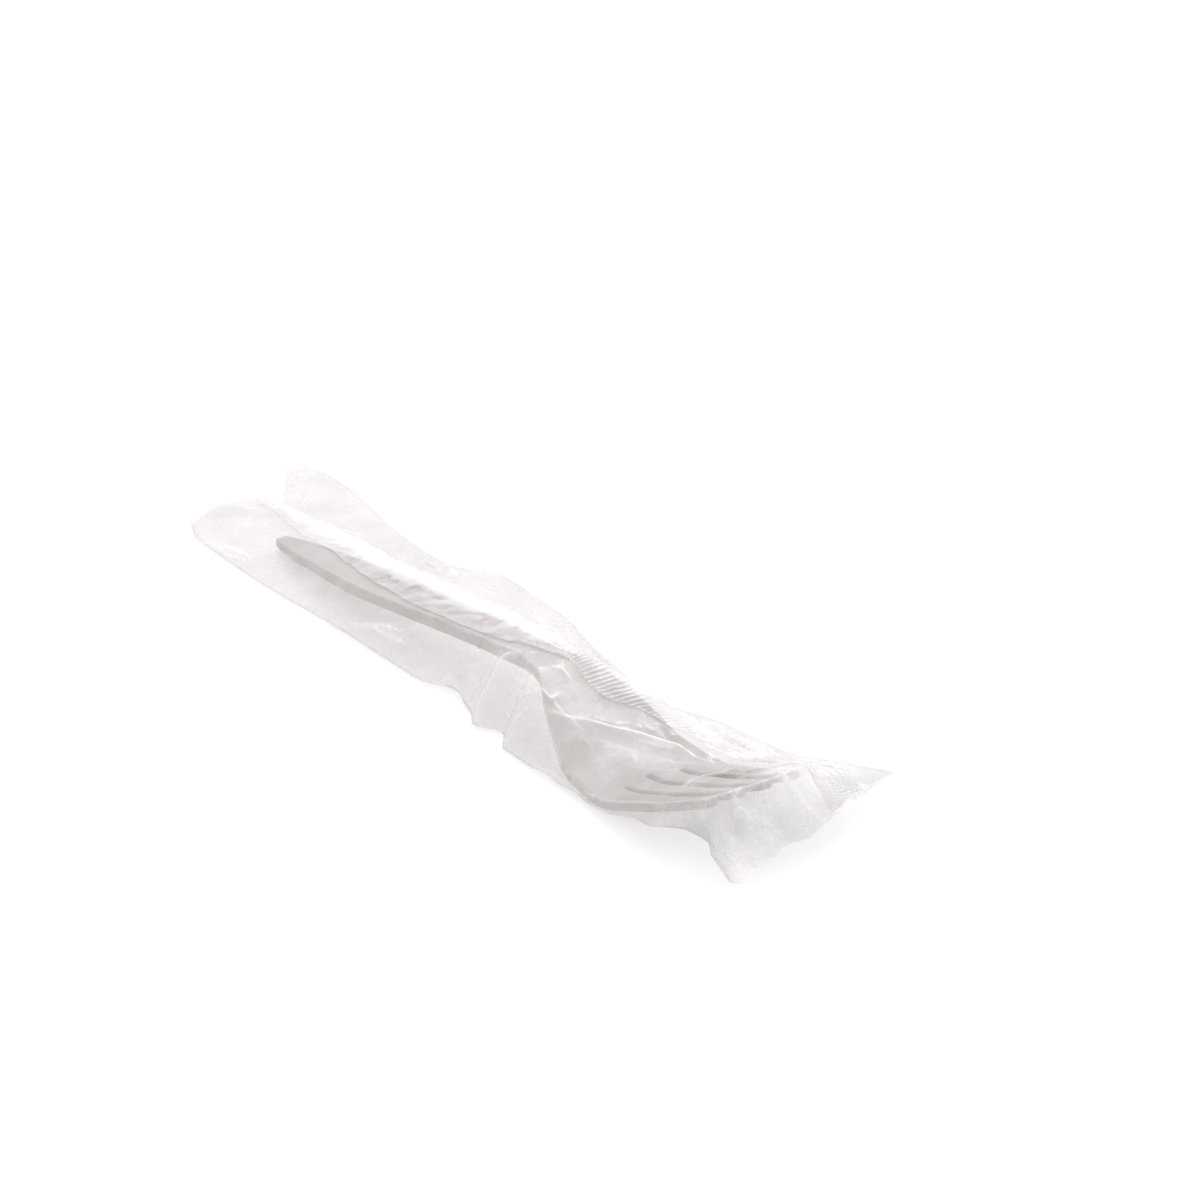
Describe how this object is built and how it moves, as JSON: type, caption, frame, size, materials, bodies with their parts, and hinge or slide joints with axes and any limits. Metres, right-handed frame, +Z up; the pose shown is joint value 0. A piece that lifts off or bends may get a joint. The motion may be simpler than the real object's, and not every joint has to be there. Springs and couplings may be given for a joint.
{
  "type": "plastic cutlery pack",
  "caption": "Disposable white plastic fork sealed in a clear crinkled film flow-wrap with a lengthwise fin seal and crimped, cut ends.",
  "frame": {"origin": "centre of the pack's box, on the surface it lies on", "axes": "+X along the fork from its handle to its tines, +Y to the side with the loose film wing, +Z up off the surface"},
  "size_m": [0.2144, 0.0473, 0.0151],
  "materials": {
    "moulded_plastic": "semi-gloss off-white injection moulding",
    "clear_film": "thin clear crinkled packaging film with a faint white haze"
  },
  "bodies": {
    "root": {"fork": "moulded_plastic", "film_wrapper": "clear_film"}
  },
  "joints": []
}
